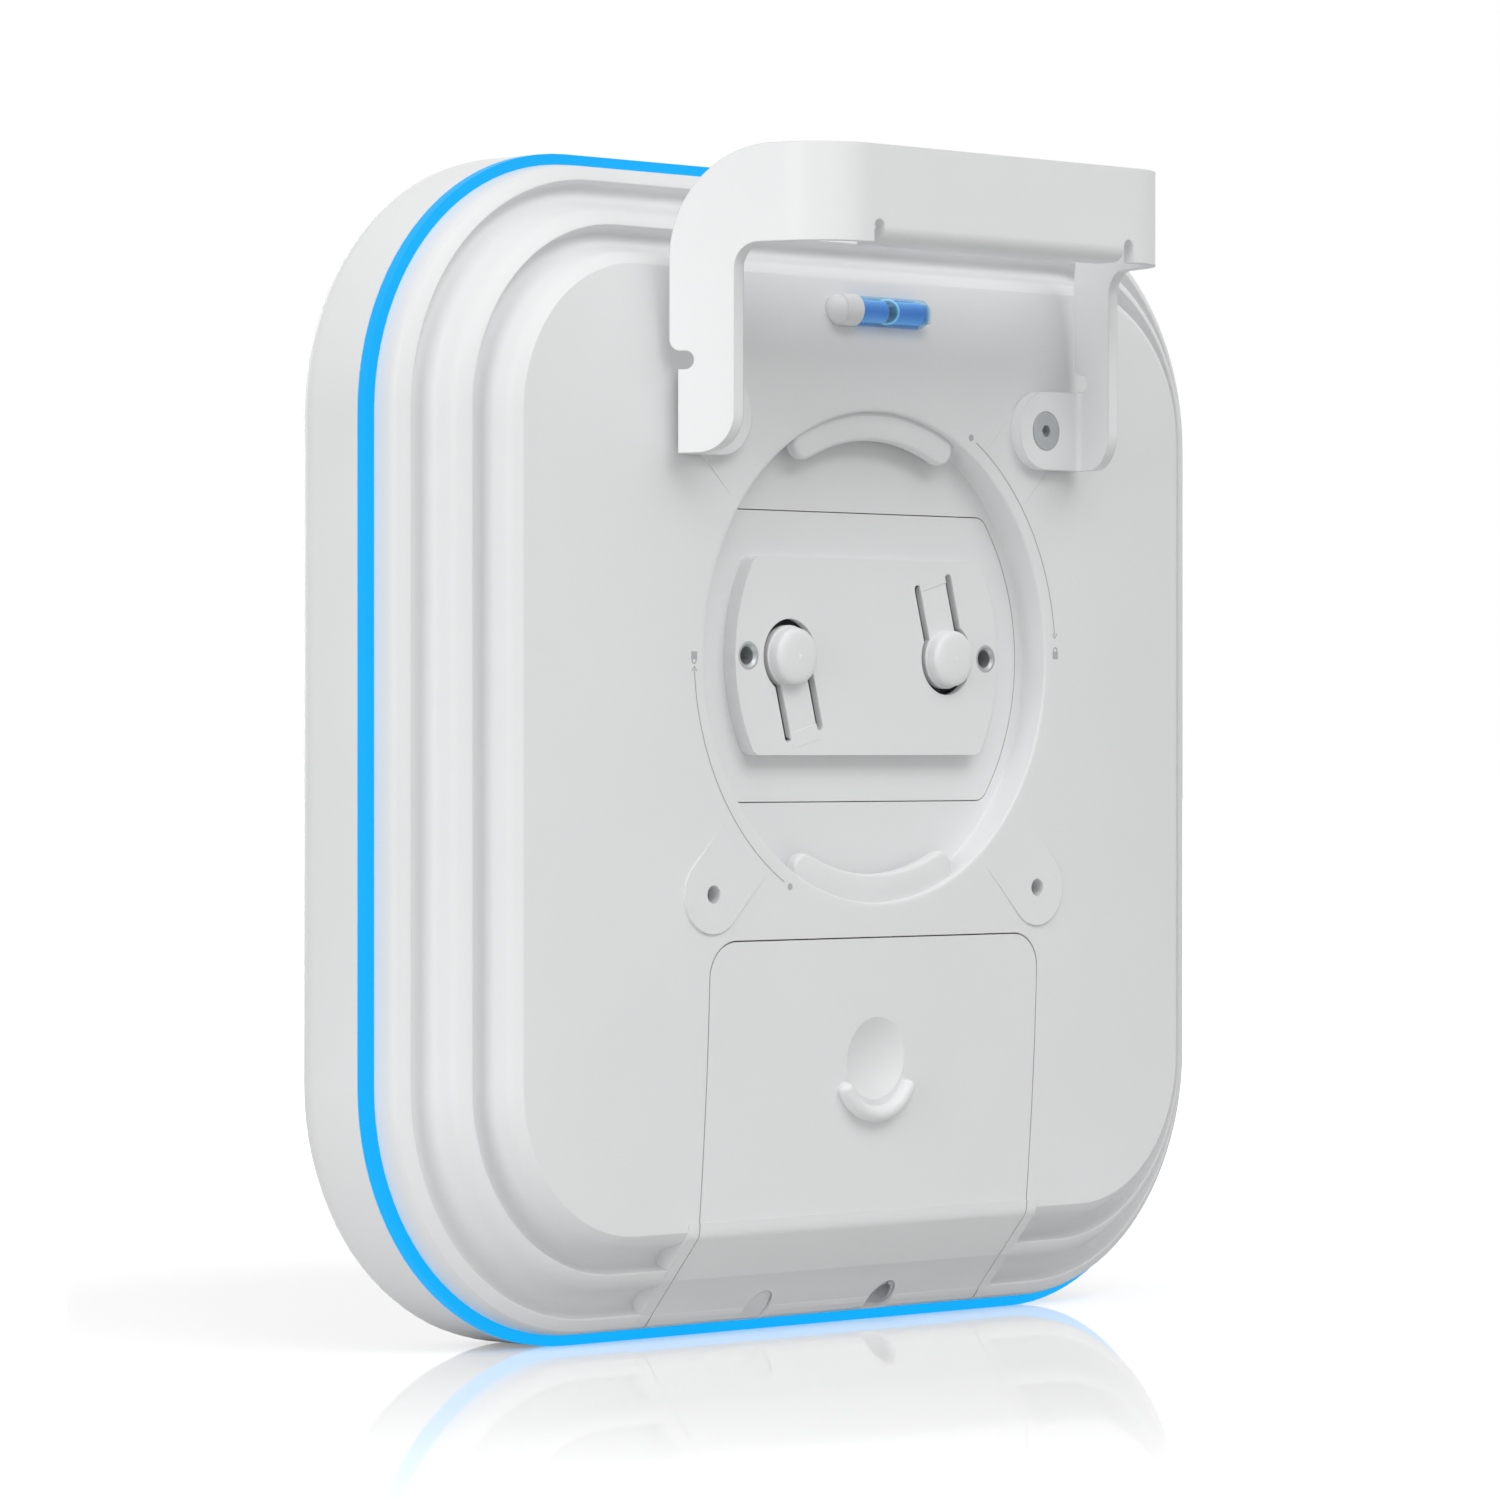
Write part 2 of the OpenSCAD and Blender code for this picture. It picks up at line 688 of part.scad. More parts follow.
module vial_cap() {
  color(white) {
    xcyl(1.5, vial_z, 3.6, -12.2, -7.02);
    intersection() {
      translate([-11.2, 1.5, vial_z]) sphere(r = 3.6);
      box(-16, -11.2 + 1.01, -4, 7, vial_z - 5, vial_z + 5);
    }
  }
}

// plan outline of the bracket, drawn g inside its outer face
module plan2(g) {
  ct = cos(flare);
  st = sin(flare);
  yc = -standoff + bend_r;
  xc = arm_half + yc * st / ct - bend_r / ct;
  r = bend_r - g;
  xa = arm_half - g / ct;
  polygon([[-xa - 4 * st / ct, 4], [-xc - r * ct, yc - r * st], [-xc, yc - r], [xc, yc - r],
    [xc + r * ct, yc - r * st], [xa + 4 * st / ct, 4]]);
  for (i = [-1, 1]) translate([i * xc, yc]) circle(r, $fn = 144);
}

// side outline of an arm and of the back plate, in [Y, Z]
module side2() {
  top = 109.8;
  low = 88.6;
  edge = -15.9;
  front = -0.85;
  difference() {
    union() {
      translate([-standoff - 1, low]) square([standoff + 1 + front, top - low]);
      translate([edge, 65.6]) square([front - edge, top - 65.6]);
      translate([edge, 43.5]) square([-2.9 - edge, 30]);
      translate([edge - 5.5, low - 5.5]) square([5.5 + eps, 5.5 + eps]);
    }
    corner2(front - 24, top - 24, 24, 1, 1);
    corner2(edge + 8.4, 51.9, 8.4, -1, -1);
    corner2(front - 2.6, 68.2, 2.6, 1, -1);
    translate([edge - 5.5, low - 5.5]) circle(5.5, $fn = 96);
    // relief notch between the tab and the upper edge
    translate([-4.6, 63.6]) circle(2);
    translate([-4.6, 61.6]) square([6, 4]);
  }
}

// what a rounded corner takes away, about the arc's centre
module corner2(x, y, r, sx, sy) {
  difference() {
    translate([x, y]) scale([sx, sy]) square([r + 1, r + 1]);
    translate([x, y]) circle(r, $fn = 144);
  }
}

module tab() {
  st = sin(flare);
  ct = cos(flare);
  xr = arm_half - 4 * st / ct - 4 / ct;
  translate([0, -sheet, 0]) rotate([-90, 0, 0]) linear_extrude(sheet) {
    translate([hole_half, -52.5]) circle(9);
    translate([hole_half, -61.5]) square([xr - hole_half + 0.3, 18]);
  }
  translate([0, 0, 43.5]) linear_extrude(18) intersection() {
    translate([xr, -4]) difference() {
      circle(4);
      circle(4 - sheet);
    }
    polygon([[xr, -4], [xr, 1], [xr + 8, 1], [xr + 8, -4 - 9 * st / ct]]);
  }
}

module hanging_bracket() {
  color(white) difference() {
    union() {
      intersection() {
        difference() {
          translate([0, 0, 40]) linear_extrude(75) difference() {
            plan2(0);
            plan2(sheet);
          }
          // the skirt under the back plate is bent in between two relief slots
          box(-38.8, 38.8, -standoff - 1, -standoff + 3.5, 80, 92.1);
        }
        rotate([90, 0, 90]) linear_extrude(160, center = true) side2();
      }
      tab();
      mirror([1, 0, 0]) tab();
      // bent skirt
      rotate([90, 0, 90]) linear_extrude(77.6, center = true) {
        intersection() {
          translate([-standoff + 3.5, 92.1]) difference() {
            circle(3.5);
            circle(3.5 - sheet);
          }
          translate([-standoff - 1, 80]) square([4.6, 12.2]);
        }
        translate([-standoff + 3.4, 88.6]) square([5, sheet]);
      }
    }
    for (i = [-1, 1]) {
      box(i * 40.4 - 1.6, i * 40.4 + 1.6, -standoff - 1, -standoff + 9, 80, 92);
      ycyl(i * 40.4, 92, 1.6, -standoff - 1, -standoff + 9);
      ycyl(i * hole_half, hole_half, 2.3, -4, 1);
      ycone(i * hole_half, hole_half, 4.6, 2.2, -sheet - 0.01, -sheet + 2.4);
    }
  }
}

module bracket_screws() {
  color(grey) for (i = [-1, 1]) difference() {
    union() {
      ycone(i * hole_half, hole_half, 4.45, 1.95, -sheet + 0.02, -sheet + 2.5);
      ycyl(i * hole_half, hole_half, 1.95, -1, 10);
    }
    translate([i * hole_half, -sheet - 1, hole_half]) rotate([-90, 0, 0])
      cylinder(r = 1.45, h = 2.9, $fn = 6);
  }
}

rear_housing();
socket_cup();
connector_tub();
front_radome();
light_ring();
led_strip();
side_leds();
led_lead();
housing_gasket();
socket_panel();
threaded_inserts();
latch_button_left();
latch_button_right();
panel_screws();
service_cover();
cover_gasket();
cable_gland();
blank_plug();
ethernet_jack();
jack_contacts();
jack_seal();
reset_button();
reset_switch();
vent_membrane();
ground_screw();
main_board();
processor_chips();
shield_cans();
thermal_pads();
heat_spreader();
spreader_screws();
line_transformers();
capacitors();
power_inductors();
board_screws();
reflector_plate();
antenna_elements();
antenna_posts();
antenna_feeds();
level_vial();
vial_fluid();
vial_bubble();
vial_cap();
hanging_bracket();
bracket_screws();
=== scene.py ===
"""Looks of the ceiling access point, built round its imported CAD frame. Sizes are in millimetres."""

import json
import math

import bmesh
import bpy
import numpy as np
from mathutils import Matrix, Vector


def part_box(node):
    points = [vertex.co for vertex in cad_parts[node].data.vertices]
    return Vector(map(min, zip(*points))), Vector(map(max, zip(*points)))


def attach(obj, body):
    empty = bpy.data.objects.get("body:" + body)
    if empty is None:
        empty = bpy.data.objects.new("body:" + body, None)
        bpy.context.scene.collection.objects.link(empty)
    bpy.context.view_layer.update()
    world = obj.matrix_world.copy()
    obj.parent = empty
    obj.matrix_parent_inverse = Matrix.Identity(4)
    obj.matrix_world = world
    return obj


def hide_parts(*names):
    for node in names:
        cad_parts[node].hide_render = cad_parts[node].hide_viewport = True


MM = 0.001
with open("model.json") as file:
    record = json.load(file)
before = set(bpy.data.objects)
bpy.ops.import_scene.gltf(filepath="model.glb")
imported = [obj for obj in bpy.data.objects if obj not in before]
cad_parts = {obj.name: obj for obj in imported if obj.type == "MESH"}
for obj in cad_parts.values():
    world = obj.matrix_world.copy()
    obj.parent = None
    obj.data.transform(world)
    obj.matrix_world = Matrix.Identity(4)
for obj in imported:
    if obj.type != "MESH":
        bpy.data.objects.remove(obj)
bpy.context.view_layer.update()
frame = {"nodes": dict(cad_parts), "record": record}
NODES = frame["nodes"]


def mm_box(node):
    """Lowest and highest corner of a CAD node, in millimetres."""
    lo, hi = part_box(node)
    return [v / MM for v in lo], [v / MM for v in hi]


# Sizes that the frame gives
RING_LO, RING_HI = mm_box("light_ring")
CENTRE_Z = (RING_LO[2] + RING_HI[2]) / 2
RIM_Y = 26.5
CORNER_AT = 72.0
COVER_HI = mm_box("service_cover")[1]
COVER_HALF, COVER_TOP = COVER_HI[0], -COVER_HI[2]
VIAL_LO, VIAL_HI = mm_box("level_vial")
VIAL_Y = (VIAL_LO[1] + VIAL_HI[1]) / 2
VIAL_Z = (VIAL_LO[2] + VIAL_HI[2]) / 2
VIAL_R = (VIAL_HI[2] - VIAL_LO[2]) / 2
CAP_LO, CAP_HI = mm_box("vial_cap")
BUBBLE_LO, BUBBLE_HI = mm_box("vial_bubble")
BUBBLE_X = (BUBBLE_LO[0] + BUBBLE_HI[0]) / 2
FLOOR_Z = RING_LO[2]

# The twist-lock socket
SOCKET_R = 55.0
SOCKET_DEPTH = 7.0
CUP_R = 57.6
PANEL_R = 52.4
PANEL_HALF = 32.5
LUG_R = 48.6
HOLE_HALF = 52.4
HOLE_R = 2.0
PAD_R = 8.7

# The latches in the socket's panel
LATCH_X = 25.4
ARM_LEAN = 15
ARM_ROOT = 18.4
SLOT_AT = 5.3

# The turning marks round the socket
MARK_R = 58.5

# The crowned back
EDGE_HALF = 105.4
EDGE_DROP = 4.1
CROWN_FROM = 57.0
CROWN_POWER = 1.6
WALL = 2.6

# The slope at the bottom, and the service cover
SLOPE_HALF = 56.3
SLOPE = [(103.6, 3.7), (105.3, 3.86), (106.1, 4.02), (106.75, 4.25), (107.3, 4.62), (124.5, 18.93),
         (125.7, 19.66), (126.7, 20.56), (127.4, 21.76), (127.8, 23.56), (128.1, RIM_Y)]
UNDER_SKIN = [(40, 3.35), (90, 3.6), (100, 5.6), (105.2, 6.2), (125.3, 23.15)]
COVER_CORNER = 8.0
COVER_GAP = 0.27
DIMPLE_Z = -91.0
GRIP_R = 11.4
CABLE_X = 20.0
CABLE_R = 4.0

ARC_STEPS = 24
SIDE_STEPS = 40


# ---------------------------------------------------------------- mesh helpers

def new_object(name, verts, faces):
    """A mesh object from points in millimetres."""
    mesh = bpy.data.meshes.new(name)
    mesh.from_pydata([(x * MM, y * MM, z * MM) for x, y, z in verts], [], faces)
    mesh.validate()
    mesh.update()
    obj = bpy.data.objects.new(name, mesh)
    bpy.context.scene.collection.objects.link(obj)
    return obj


def face_outward(obj):
    bm = bmesh.new()
    bm.from_mesh(obj.data)
    bmesh.ops.recalc_face_normals(bm, faces=bm.faces)
    if bm.calc_volume(signed=True) < 0:
        bmesh.ops.reverse_faces(bm, faces=bm.faces)
    bm.to_mesh(obj.data)
    bm.free()
    return obj


def shade(obj, angle=23):
    """Smooth shading with creases kept sharp."""
    obj.data.shade_smooth()
    obj.data.set_sharp_from_angle(angle=math.radians(angle))
    return obj


def rings_solid(name, rings, start=None, end=None):
    """A closed solid through rings of equally many points, with an end point or a flat cap at each end."""
    n = len(rings[0])
    verts = [p for ring in rings for p in ring]
    faces = []
    for j in range(len(rings) - 1):
        for i in range(n):
            k = (i + 1) % n
            faces.append((j * n + i, j * n + k, (j + 1) * n + k, (j + 1) * n + i))
    last = (len(rings) - 1) * n
    if start is None:
        faces.append(tuple(reversed(range(n))))
    else:
        verts.append(start)
        c = len(verts) - 1
        faces += [(c, (i + 1) % n, i) for i in range(n)]
    if end is None:
        faces.append(tuple(range(last, last + n)))
    else:
        verts.append(end)
        c = len(verts) - 1
        faces += [(c, last + i, last + (i + 1) % n) for i in range(n)]
    return face_outward(new_object(name, verts, faces))


def prism_y(name, outline, y0, y1):
    """An outline of (x, z) points pushed from depth y0 to depth y1."""
    return rings_solid(name, [[(x, y0, z) for x, z in outline], [(x, y1, z) for x, z in outline]])


def prism_x(name, profile, x0, x1):
    """A profile of (half-width, depth) points on the bottom side, pushed from x0 to x1."""
    pts = [(y, CENTRE_Z - h) for h, y in profile]
    return rings_solid(name, [[(x0, y, z) for y, z in pts], [(x1, y, z) for y, z in pts]])


def box(name, x0, x1, y0, y1, z0, z1):
    return prism_y(name, [(x0, z0), (x1, z0), (x1, z1), (x0, z1)], y0, y1)


def circle(x, z, r, steps=48, a0=0, a1=360):
    full = abs(a1 - a0) >= 360
    count = steps if full else steps + 1
    angles = [math.radians(a0 + (a1 - a0) * i / steps) for i in range(count)]
    return [(x + r * math.cos(a), z + r * math.sin(a)) for a in angles]


def cylinder_y(name, x, z, r, y0, y1, steps=48):
    return prism_y(name, circle(x, z, r, steps), y0, y1)


def cylinder_z(name, x, y, r, z0, z1, steps=48):
    ring = circle(x, y, r, steps)
    return rings_solid(name, [[(a, b, z0) for a, b in ring], [(a, b, z1) for a, b in ring]])


def cylinder_x(name, y, z, r, x0, x1, steps=64):
    ring = circle(y, z, r, steps)
    return rings_solid(name, [[(x0, a, b) for a, b in ring], [(x1, a, b) for a, b in ring]])


def combine(obj, operation, *others):
    """Boolean of obj with each other solid, which is then removed."""
    for other in others:
        mod = obj.modifiers.new("cut", "BOOLEAN")
        mod.operation = operation
        mod.solver = "MANIFOLD"
        mod.object = other
        bpy.context.view_layer.update()
        made = bpy.data.meshes.new_from_object(
            obj.evaluated_get(bpy.context.evaluated_depsgraph_get()))
        obj.modifiers.clear()
        old = obj.data
        obj.data = made
        bpy.data.meshes.remove(old)
        bpy.data.objects.remove(other)
    return obj


def cut(obj, *others):
    return combine(obj, "DIFFERENCE", *others)


def add(obj, *others):
    return combine(obj, "UNION", *others)


def keep(obj, *others):
    return combine(obj, "INTERSECT", *others)


def curve_through(points, steps=5):
    """A smooth curve through points in the plane, as Catmull-Rom spans."""
    p = np.array(points, float)
    p = np.vstack([2 * p[0] - p[1], p, 2 * p[-1] - p[-2]])
    out = []
    for i in range(1, len(p) - 2):
        for s in range(steps):
            t = s / steps
            out.append(0.5 * (2 * p[i] + (p[i + 1] - p[i - 1]) * t
                              + (2 * p[i - 1] - 5 * p[i] + 4 * p[i + 1] - p[i + 2]) * t * t
                              + (3 * p[i] - p[i - 1] - 3 * p[i + 1] + p[i + 2]) * t ** 3))
    out.append(p[-2])
    return [tuple(q) for q in out]


# ---------------------------------------------------------------- the back's outlines

def outline(half):
    """The rounded square of that half-width round the body's centre, as (x, z) points."""
    r = half - CORNER_AT
    signs = [(1, 1), (-1, 1), (-1, -1), (1, -1)]
    pts = []
    for q in range(4):
        cx, cz = CORNER_AT * signs[q][0], CORNER_AT * signs[q][1]
        nx, nz = CORNER_AT * signs[(q + 1) % 4][0], CORNER_AT * signs[(q + 1) % 4][1]
        for i in range(ARC_STEPS):
            a = math.radians(90 * q + 90 * i / ARC_STEPS)
            pts.append((cx + r * math.cos(a), cz + r * math.sin(a)))
        a = math.radians(90 * q + 90)
        for i in range(SIDE_STEPS):
            s = i / SIDE_STEPS
            pts.append((cx + (nx - cx) * s + r * math.cos(a), cz + (nz - cz) * s + r * math.sin(a)))
    return [(x, z + CENTRE_Z) for x, z in pts]


EDGE = outline(EDGE_HALF)
RAYS = [(x / math.hypot(x, z), z / math.hypot(x, z)) for x, z in EDGE]


def socket_ring(r, y):
    return [(r * u, y, r * w) for u, w in RAYS]


def crown_ring(t, extra=0.0):
    """A ring of the crowned back, from the socket's rim at t = 0 to its outer edge at t = 1."""
    y = EDGE_DROP * t ** CROWN_POWER + extra
    return [((1 - t) * CROWN_FROM * u + t * x, y, (1 - t) * CROWN_FROM * w + t * z)
            for (u, w), (x, z) in zip(RAYS, EDGE)]


def side_ring(half, y):
    return [(x, y, z) for x, z in outline(half)]


def edge_profile():
    """The chamfer, the two grooves with the ridge between them, and the rim, as (half-width, depth)."""
    groove = [(107.15, 5.35), (107.95, 6.6), (108.5, 8.4), (109.0, 10.4), (109.8, 12.3), (110.9, 13.6),
              (111.9, 14.0), (112.8, 13.7), (113.45, 12.8), (113.85, 11.5)]
    crest = [(113.93, 10.9), (114.15, 10.66), (114.5, 10.78)]
    ridge = [(116.8, 12.5), (117.6, 13.9), (118.2, 15.9), (118.8, 18.0), (119.7, 19.9), (120.9, 21.2),
             (122.0, 21.6), (122.9, 21.3), (123.6, 20.5), (124.02, 19.4)]
    rim = [(127.0, 20.75), (127.5, 21.8), (127.85, 23.6), (128.1, RIM_Y)]
    return ([(105.4, 4.1)] + curve_through(groove, 3) + crest + curve_through(ridge, 3)
            + [(124.15, 19.02), (124.4, 18.9), (124.75, 19.02)] + curve_through(rim, 3))


def crowned_solid(name, inner_offset):
    """The whole back as one closed solid: socket cup, crown, grooves, rim and the inside."""
    lip = [(54.3, 7.0), (54.75, 6.92), (54.95, 6.65), (SOCKET_R, 6.2), (SOCKET_R, 0.7), (55.06, 0.36),
           (55.28, 0.12), (55.6, 0.02), (56.2, 0.0), (CROWN_FROM, 0.0)]
    steps = [0.02, 0.05] + [i / 20 for i in range(2, 20)] + [0.98]
    rings = [socket_ring(25, SOCKET_DEPTH)] + [socket_ring(r, y) for r, y in lip]
    rings += [crown_ring(t) for t in steps]
    rings += [side_ring(h, y) for h, y in edge_profile()]
    rings += [side_ring(h, y) for h, y in [(115.9, RIM_Y), (115.6, 25.0), (115.6, 16.7), (106.4, 16.2),
                                           (105.9, 9.0)]]
    rings += [crown_ring(t, inner_offset) for t in reversed(steps[1:])]
    rings += [socket_ring(CUP_R, inner_offset + 0.3), socket_ring(CUP_R, 9.6), socket_ring(25, 9.6)]
    return rings_solid(name, rings, start=(0, SOCKET_DEPTH, 0), end=(0, 9.6, 0))


def slab_outline(r, half, f, steps=12):
    """A disc cut to |z| < half, with its corners rounded."""
    c = math.sqrt((r - f) ** 2 - (half - f) ** 2)
    a = math.degrees(math.atan2(half - f, c))
    pts = circle(0, 0, r, steps * 3, -a, a)
    pts += circle(c, half - f, f, steps, a, 90)[1:]
    pts += circle(-c, half - f, f, steps, 90, 180 - a)
    pts += circle(0, 0, r, steps * 3, 180 - a, 180 + a)[1:]
    pts += circle(-c, f - half, f, steps, 180 + a, 270)[1:]
    pts += circle(c, f - half, f, steps, 270, 360 - a)[:-1]
    return pts


def cover_outline(grow):
    """The service cover seen from the back, cut off below the body."""
    w, t = COVER_HALF + grow, -COVER_TOP + grow
    c = COVER_CORNER
    pts = [(-w, -160), (w, -160)]
    pts += circle(w - c, t - c, c, 12, 0, 90) + circle(-(w - c), t - c, c, 12, 90, 180)
    return pts


def pad_outline(sx, sz):
    """The flat pad round a bracket hole: round at the hole, running in toward the socket."""
    toward = math.degrees(math.atan2(-sz, -sx))
    cx, cz = HOLE_HALF * sx, HOLE_HALF * sz
    u = (math.cos(math.radians(toward)), math.sin(math.radians(toward)))
    inner = math.hypot(cx, cz) - CROWN_FROM - 1.2
    pts = circle(cx, cz, PAD_R, 32, toward + 90, toward + 270)
    for s in (-1, 1):
        pts.append((cx + u[0] * inner - s * u[1] * PAD_R, cz + u[1] * inner + s * u[0] * PAD_R))
    return pts


def slope_block(name):
    return prism_x(name, SLOPE + [(116, RIM_Y), (103.6, RIM_Y)], -SLOPE_HALF, SLOPE_HALF)


# ---------------------------------------------------------------- the object's pieces

def rear_shell():
    shell = crowned_solid("rear_shell", WALL)
    add(shell, slope_block("slope"))
    for sx in (-1, 1):
        for sz in (-1, 1):
            add(shell, prism_y("pad", pad_outline(sx, sz), 0.0, 3.0),
                cylinder_y("boss", sx * HOLE_HALF, sz * HOLE_HALF, 5, 2, 14))
    # seat of the cover and the room for the connector tub
    cut(shell, prism_y("seat", cover_outline(COVER_GAP), -2, 24.0),
        box("mouth", -53.3, 53.3, -2, 30, -170, CENTRE_Z - 125.2),
        tub_room())
    # recess and window for the panel
    cut(shell, prism_y("recess", slab_outline(PANEL_R, PANEL_HALF, 4.1), 5, 8.6),
        prism_y("window", slab_outline(49.2, 29.3, 2.0), 5, 12))
    for sx in (-1, 1):
        for sz in (-1, 1):
            cut(shell, cylinder_y("hole", sx * HOLE_HALF, sz * HOLE_HALF, HOLE_R, -1, 16, 40))
    vial_bed(shell)
    for a in (0, 180):
        add(shell, lug(a))
    shade(shell)
    return shell


def tub_room():
    """Room for the connector tub, under a skin of the back."""
    room = box("tub_room", -55.85, 55.85, 3.3, 30, CENTRE_Z - 125.3, -64.95)
    under = [(h, y - 0.05) for h, y in UNDER_SKIN] + [(125.3, 30), (40, 30)]
    return keep(room, prism_x("under", under, -60, 60))


def tub_piece():
    """The CAD's connector tub, trimmed to lie under the skin of the back."""
    tub = bpy.data.objects.new("tub_trimmed", NODES["connector_tub"].data.copy())
    bpy.context.scene.collection.objects.link(tub)
    bm = bmesh.new()
    bm.from_mesh(tub.data)
    bmesh.ops.remove_doubles(bm, verts=bm.verts, dist=1e-6)
    bm.to_mesh(tub.data)
    bm.free()
    cut(tub, prism_x("over", [(40, -3)] + UNDER_SKIN + [(127, 23.2), (127, -3)], -60, 60))
    return shade(tub)


def vial_bed(shell):
    """The hollow that the level vial lies in, with its end foot."""
    add(shell, box("backing", CAP_LO[0] - 1.6, VIAL_HI[0] + 2.9, 4.5, 6.8, VIAL_Z - 5, VIAL_Z + 5))
    cap_r = (CAP_HI[2] - CAP_LO[2]) / 2 + 0.05
    cut(shell, cylinder_x("bed", VIAL_Y, VIAL_Z, VIAL_R + 0.05, VIAL_LO[0] - 0.1, VIAL_HI[0] + 0.1),
        capsule_x("cap_bed", VIAL_Y, VIAL_Z, cap_r, CAP_LO[0] - 0.05, VIAL_LO[0]))
    foot = rounded_block("foot", (VIAL_HI[0] + 0.9, 1.2, VIAL_Z), (1.3, 4.4, 4.6), 0.55)
    add(shell, foot)


def capsule_x(name, y, z, r, x0, x1, steps=48):
    """A cylinder along X whose low end is round."""
    rings = []
    for i in range(1, 9):
        a = math.radians(90 * i / 8)
        rings.append([(x0 + r - r * math.cos(a), p, q) for p, q in circle(y, z, r * math.sin(a), steps)])
    rings.append([(x1, p, q) for p, q in circle(y, z, r, steps)])
    return rings_solid(name, rings, start=(x0, y, z))


def rounded_block(name, centre, size, radius):
    """A block with rounded edges."""
    hx, hy, hz = (s / 2 for s in size)
    obj = box(name, centre[0] - hx, centre[0] + hx, centre[1] - hy, centre[1] + hy,
              centre[2] - hz, centre[2] + hz)
    bm = bmesh.new()
    bm.from_mesh(obj.data)
    bmesh.ops.bevel(bm, geom=bm.edges[:], offset=radius * MM, segments=4, profile=0.5, affect="EDGES")
    bm.to_mesh(obj.data)
    bm.free()
    return obj


def lug(turn):
    """A bayonet lug: an arc of the socket's wall with round ends and a soft edge."""
    mid, half_w = (SOCKET_R + LUG_R) / 2 + 0.3, (SOCKET_R - LUG_R) / 2 + 0.3
    y0, y1, soft = 1.6, 4.8, 0.9
    sweep = 25.0
    section = [(1.0 - soft / half_w + soft / half_w * math.sin(math.radians(a)),
                y0 + soft - soft * math.cos(math.radians(a))) for a in (0, 22.5, 45, 67.5, 90)]
    section += [(k, y1 + y0 - y) for k, y in reversed(section)]
    rings = []
    for k, y in section:
        w = half_w * k
        a0, a1 = 90 - sweep, 90 + sweep
        pts = circle(0, 0, mid + w, 30, a0, a1)
        ends = math.radians(a1), math.radians(a0)
        pts += circle(mid * math.cos(ends[0]), mid * math.sin(ends[0]), w, 12, a1, a1 + 180)[1:-1]
        pts += circle(0, 0, mid - w, 30, a1, a0)
        pts += circle(mid * math.cos(ends[1]), mid * math.sin(ends[1]), w, 12, a0 + 180, a0 + 360)[1:-1]
        flip = -1 if turn else 1
        rings.append([(flip * x, y, flip * z) for x, z in pts])
    return rings_solid("lug", rings)


def bubble_piece():
    """The vial's bubble, pressed against the glass."""
    rings = []
    for i in range(1, 24):
        a = math.radians(180 * i / 24)
        rings.append([(BUBBLE_X - 3.1 * math.cos(a), y, z)
                      for y, z in circle(VIAL_Y - 0.1, VIAL_Z + 0.1, 2.95 * math.sin(a), 48)])
    obj = rings_solid("bubble_look", rings, start=(BUBBLE_X - 3.1, VIAL_Y - 0.1, VIAL_Z + 0.1),
                      end=(BUBBLE_X + 3.1, VIAL_Y - 0.1, VIAL_Z + 0.1))
    return shade(obj, 60)


def cover_skin():
    """The sliding service cover: a skin of the crowned back and of the slope below it."""
    skin = crowned_solid("cover_skin", 7.0)
    add(skin, slope_block("slope"))
    keep(skin, prism_y("outline", cover_outline(0.0), -1, 26.2))
    hollow = [(30, 3), (80, 3.05), (88, 3.6), (99.6, 5), (103.9, 5.5), (105.4, 5.8), (123.6, 21.2),
              (125.7, 23.4), (125.9, 30), (30, 30)]
    cut(skin, prism_x("hollow", hollow, -60, 60))
    cut(skin, box("below", -60, 60, -5, 30, -170, CENTRE_Z - 127.9))
    add(skin, cylinder_y("dimple_back", 0, DIMPLE_Z, 11, 2.6, 5.0))
    rail_lo, rail_hi = -127, -COVER_TOP - 14
    below = [(40, 2.6), (80, 2.7), (92, 3.6), (100, 4.7), (104, 5.2), (107, 7.0), (122, 19.6),
             (122, 30), (40, 30)]
    for s in (-1, 1):
        rail = add(box("rail", s * 48.5 - 1, s * 48.5 + 1, 2.6, 7.1, rail_lo, rail_hi),
                   box("runner", s * 50 - 2.3, s * 50 + 2.3, 5.4, 7, rail_lo, rail_hi))
        add(skin, keep(rail, prism_x("under", below, -60, 60)))
        collar = cylinder_z("collar", s * CABLE_X, 20, 5.3, -148.2, -132)
        inside = SLOPE[1:5] + [(124.5, 19.0), (126.6, 20.7), (127.4, 22.4), (127.6, 24.4), (103, 24.4),
                               (103, 3.95)]
        add(skin, keep(collar, prism_x("in", inside, -40, 40)))
    for s in (-1, 1):
        cut(skin, cylinder_z("hole", s * CABLE_X, 20, CABLE_R, -155, -120, 64))
    dimple(skin)
    shade(skin)
    return skin


def dimple(skin):
    """The thumb dimple: a round hollow, deepest at its lower side."""
    r_open, depth = 9.3, 2.2
    surface = EDGE_DROP * 0.49 ** CROWN_POWER
    ball = (r_open ** 2 + depth ** 2) / (2 * depth)
    y = surface + depth - ball
    rings = []
    for i in range(1, 24):
        a = math.radians(180 * i / 24)
        rings.append([(x, y + ball * math.cos(a), z)
                      for x, z in circle(0, DIMPLE_Z, ball * math.sin(a), 96)])
    cut(skin, rings_solid("ball", rings, start=(0, y + ball, DIMPLE_Z), end=(0, y - ball, DIMPLE_Z)))


